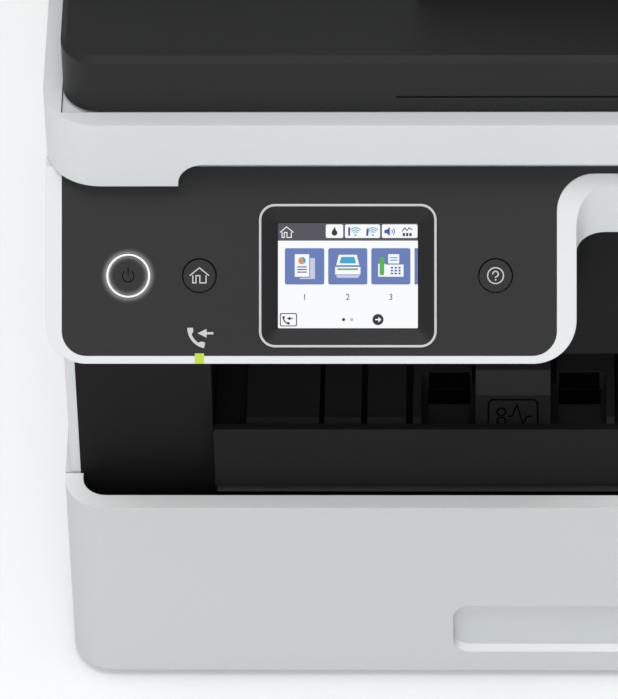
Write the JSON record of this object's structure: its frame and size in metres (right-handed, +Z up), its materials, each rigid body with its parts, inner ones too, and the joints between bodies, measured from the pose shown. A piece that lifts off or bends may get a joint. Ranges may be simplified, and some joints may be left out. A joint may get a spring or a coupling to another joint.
{
  "type": "inkjet printer",
  "caption": "Desktop inkjet printer with ink tanks, lifting scanner, document feeder, sloping control panel with a screen, pull-out paper cassette and output tray.",
  "frame": {"origin": "under the middle of the printer, on the surface it stands on", "axes": "+Z up, the front with the control panel faces -Y, +X to the right as seen from the front"},
  "size_m": [0.375, 0.347, 0.346],
  "materials": {
    "light_casing": "fine moulded grain",
    "black_casing": "fine moulded grain",
    "black_inner": "plain moulding",
    "panel_face": "satin sheet",
    "screen_frame": "dark bezel in a silver line",
    "screen": "clear over a lit display",
    "key": "satin",
    "light_ring": "white light guide",
    "lamp": "yellow-green light guide",
    "rubber": "matt",
    "roller_rubber": "ground",
    "glass": "polished",
    "white_pad": "matt sheet",
    "steel": "plated sheet and shafts",
    "tank": "translucent",
    "window": "smoked",
    "belt": "toothed belt",
    "board": "solder mask",
    "supply": "black case"
  },
  "bodies": {
    "printer_body": {"base": "light_casing", "rubber_feet": "rubber", "housing": "light_casing", "front_fascia": "light_casing", "panel_overlay": "panel_face", "lcd_frame": "screen_frame", "lcd_screen": "screen", "power_ring": "light_ring", "message_lamp": "lamp", "scanner_hinges": "steel", "inner_front": "black_inner", "exit_guide": "black_inner", "jam_guide": "black_inner", "tank_frame": "black_inner", "ink_tanks": "tank", "chassis": "steel", "carriage_shaft": "steel", "carriage_belt": "belt", "carriage_motor": "steel", "platen": "black_inner", "capping_station": "black_inner", "power_supply": "supply", "main_board": "board"},
    "scanner": {"scanner_case": "light_casing", "scanner_top_frame": "light_casing", "scanner_glass": "glass", "scan_rod": "steel", "cover_hinges": "steel"},
    "scan_bar": {"scan_carriage": "black_inner"},
    "document_lid": {"document_cover": "black_casing", "backing_pad": "white_pad", "feeder_body": "light_casing", "feeder_tray": "black_casing"},
    "feeder_lid": {"feeder_cover": "light_casing"},
    "front_edge_guide": {"feeder_guide_front": "black_casing"},
    "rear_edge_guide": {"feeder_guide_rear": "black_casing"},
    "pick": {"pick_roller": "roller_rubber"},
    "cassette": {"cassette_front": "light_casing", "cassette_tray": "black_inner"},
    "left_fence": {"cassette_guide_left": "black_inner"},
    "right_fence": {"cassette_guide_right": "black_inner"},
    "length_fence": {"cassette_length_guide": "black_inner"},
    "slide_tray": {"output_tray": "black_inner"},
    "slide_extension": {"output_extension": "black_inner"},
    "stop_wall": {"paper_stop": "black_casing"},
    "power_key": {"power_button": "key"},
    "home_key": {"home_button": "key"},
    "help_key": {"help_button": "key"},
    "tank_door": {"tank_cover": "black_casing", "tank_window": "window"},
    "carriage": {"print_carriage": "black_inner"},
    "drive": {"drive_pulley": "black_inner"},
    "idler": {"idler_pulley": "black_inner"},
    "feed": {"feed_roller": "roller_rubber"},
    "eject": {"eject_roller": "roller_rubber"},
    "rear_unit": {"rear_cover": "black_casing"},
    "cap_1": {"tank_cap_1": "tank"},
    "cap_2": {"tank_cap_2": "tank"},
    "cap_3": {"tank_cap_3": "tank"},
    "cap_4": {"tank_cap_4": "tank"}
  },
  "joints": [
    {"name": "scanner_lift", "type": "hinge", "parent": "printer_body", "child": "scanner", "pos_m": [0, 0.17, 0.255], "axis": [-1, 0, 0], "range_deg": [0, 35]},
    {"name": "scan_travel", "type": "slide", "parent": "scanner", "child": "scan_bar", "axis": [1, 0, 0], "range_m": [0, 0.286]},
    {"name": "cover_lift", "type": "hinge", "parent": "scanner", "child": "document_lid", "pos_m": [0, 0.17, 0.2841], "axis": [-1, 0, 0], "range_deg": [0, 60]},
    {"name": "feeder_lid_lift", "type": "hinge", "parent": "document_lid", "child": "feeder_lid", "pos_m": [-0.1758, 0, 0.331], "axis": [0, -1, 0], "range_deg": [0, 75]},
    {"name": "edge_guide_front", "type": "slide", "parent": "document_lid", "child": "front_edge_guide", "axis": [0, 1, 0], "range_m": [0, 0.06]},
    {"name": "edge_guide_rear", "type": "slide", "parent": "document_lid", "child": "rear_edge_guide", "axis": [0, -1, 0], "range_m": [0, 0.06]},
    {"name": "cassette_pull", "type": "slide", "parent": "printer_body", "child": "cassette", "axis": [0, -1, 0], "range_m": [0, 0.25]},
    {"name": "fence_left", "type": "slide", "parent": "cassette", "child": "left_fence", "axis": [1, 0, 0], "range_m": [0, 0.05]},
    {"name": "fence_right", "type": "slide", "parent": "cassette", "child": "right_fence", "axis": [-1, 0, 0], "range_m": [0, 0.05]},
    {"name": "fence_length", "type": "slide", "parent": "cassette", "child": "length_fence", "axis": [0, -1, 0], "range_m": [0, 0.085]},
    {"name": "tray_pull", "type": "slide", "parent": "printer_body", "child": "slide_tray", "axis": [0, -1, 0], "range_m": [0, 0.12]},
    {"name": "extension_pull", "type": "slide", "parent": "slide_tray", "child": "slide_extension", "axis": [0, -1, 0], "range_m": [0, 0.11]},
    {"name": "stop_fold", "type": "hinge", "parent": "slide_extension", "child": "stop_wall", "pos_m": [-0.02, -0.1225, 0.0926], "axis": [1, 0, 0], "range_deg": [0, 65]},
    {"name": "tank_door_swing", "type": "hinge", "parent": "printer_body", "child": "tank_door", "pos_m": [0.1385, -0.1243, 0.096], "axis": [1, 0, 0], "range_deg": [0, 90]},
    {"name": "carriage_travel", "type": "slide", "parent": "printer_body", "child": "carriage", "axis": [1, 0, 0], "range_m": [-0.24, 0]},
    {"name": "drive_turn", "type": "hinge", "parent": "printer_body", "child": "drive", "pos_m": [0.155, 0.098, 0.176], "axis": [0, 0, 1], "range_deg": [-2760, 10]},
    {"name": "idler_turn", "type": "hinge", "parent": "printer_body", "child": "idler", "pos_m": [-0.155, 0.098, 0.176], "axis": [0, 0, 1], "range_deg": [-2760, 10]},
    {"name": "rear_pull", "type": "slide", "parent": "printer_body", "child": "rear_unit", "axis": [0, 1, 0], "range_m": [0, 0.05]},
    {"name": "pick_turn", "type": "hinge", "parent": "document_lid", "child": "pick", "pos_m": [-0.09, 0.01, 0.3186], "axis": [0, 1, 0], "continuous": true},
    {"name": "feed_turn", "type": "hinge", "parent": "printer_body", "child": "feed", "pos_m": [0, 0.07, 0.11], "axis": [1, 0, 0], "continuous": true},
    {"name": "eject_turn", "type": "hinge", "parent": "printer_body", "child": "eject", "pos_m": [0, -0.012, 0.11], "axis": [1, 0, 0], "continuous": true},
    {"name": "power_press", "type": "slide", "parent": "printer_body", "child": "power_key", "axis": [0, 0.7071, -0.7071], "range_m": [0, 0.0006], "stiffness_N_per_m": 300},
    {"name": "home_press", "type": "slide", "parent": "printer_body", "child": "home_key", "axis": [0, 0.7071, -0.7071], "range_m": [0, 0.0006], "stiffness_N_per_m": 300},
    {"name": "help_press", "type": "slide", "parent": "printer_body", "child": "help_key", "axis": [0, 0.7071, -0.7071], "range_m": [0, 0.0006], "stiffness_N_per_m": 300},
    {"name": "cap_1_lift", "type": "hinge", "parent": "printer_body", "child": "cap_1", "pos_m": [0.10775, -0.086, 0.194], "axis": [-1, 0, 0], "range_deg": [0, 70]},
    {"name": "cap_2_lift", "type": "hinge", "parent": "printer_body", "child": "cap_2", "pos_m": [0.12825, -0.086, 0.194], "axis": [-1, 0, 0], "range_deg": [0, 70]},
    {"name": "cap_3_lift", "type": "hinge", "parent": "printer_body", "child": "cap_3", "pos_m": [0.14875, -0.086, 0.194], "axis": [-1, 0, 0], "range_deg": [0, 70]},
    {"name": "cap_4_lift", "type": "hinge", "parent": "printer_body", "child": "cap_4", "pos_m": [0.16925, -0.086, 0.194], "axis": [-1, 0, 0], "range_deg": [0, 70]}
  ],
  "couplings": [
    {"joint": "edge_guide_rear", "follows": "edge_guide_front", "ratio": 1},
    {"joint": "fence_right", "follows": "fence_left", "ratio": 1},
    {"joint": "drive_turn", "follows": "carriage_travel", "rad_per_m": 200},
    {"joint": "idler_turn", "follows": "carriage_travel", "rad_per_m": 200},
    {"joint": "eject_turn", "follows": "feed_turn", "ratio": 1.2}
  ]
}
